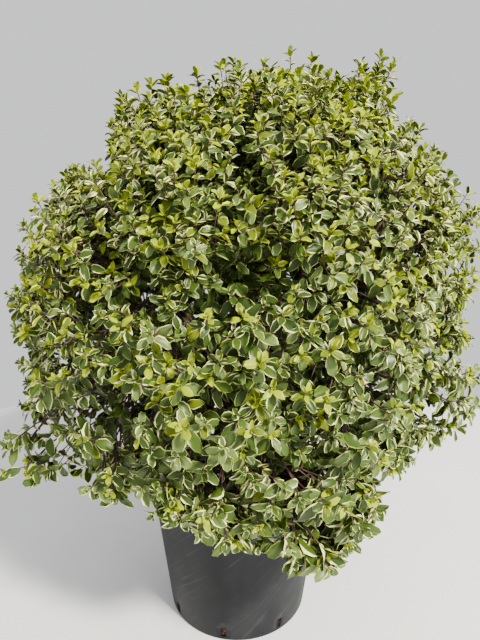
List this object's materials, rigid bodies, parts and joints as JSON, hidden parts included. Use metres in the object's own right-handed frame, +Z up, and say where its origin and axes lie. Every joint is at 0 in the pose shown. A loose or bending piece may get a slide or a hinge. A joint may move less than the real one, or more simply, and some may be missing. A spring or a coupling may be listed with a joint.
{
  "type": "potted variegated kohuhu",
  "caption": "Dense rounded evergreen shrub with small cream-edged leaves on dark twigs, growing in a tapered round black plastic nursery pot full of potting mix.",
  "frame": {"origin": "middle of the pot's flat underside", "axes": "+Z up, +X to the right and -Y towards the viewer of the plant's front"},
  "size_m": [0.9437, 0.9324, 1.171],
  "materials": {
    "pot": "charcoal black moulded plastic, dusty and lightly scuffed",
    "potting_mix": "dark brown bark compost, coarse and dull",
    "bark": "dark grey-brown bark, finely cracked, dull",
    "foliage": "grey-green leaves with cream edges, half glossy, on dark brown twigs"
  },
  "bodies": {
    "root": {"pot": "pot", "potting_mix": "potting_mix", "trunk": "bark", "bough_skirt_1": "bark", "bough_skirt_2": "bark", "bough_skirt_3": "bark", "bough_skirt_4": "bark", "bough_skirt_5": "bark", "bough_skirt_6": "bark", "bough_skirt_7": "bark", "bough_middle_1": "bark", "bough_middle_2": "bark", "bough_middle_3": "bark", "bough_middle_4": "bark", "bough_middle_5": "bark", "bough_middle_6": "bark", "bough_middle_7": "bark", "bough_upper_1": "bark", "bough_upper_2": "bark", "bough_upper_3": "bark", "bough_upper_4": "bark", "bough_upper_5": "bark", "foliage_skirt_1": "foliage", "foliage_skirt_2": "foliage", "foliage_skirt_3": "foliage", "foliage_skirt_4": "foliage", "foliage_skirt_5": "foliage", "foliage_skirt_6": "foliage", "foliage_skirt_7": "foliage", "foliage_middle_1": "foliage", "foliage_middle_2": "foliage", "foliage_middle_3": "foliage", "foliage_middle_4": "foliage", "foliage_middle_5": "foliage", "foliage_middle_6": "foliage", "foliage_middle_7": "foliage", "foliage_upper_1": "foliage", "foliage_upper_2": "foliage", "foliage_upper_3": "foliage", "foliage_upper_4": "foliage", "foliage_upper_5": "foliage", "foliage_top": "foliage"}
  },
  "joints": []
}
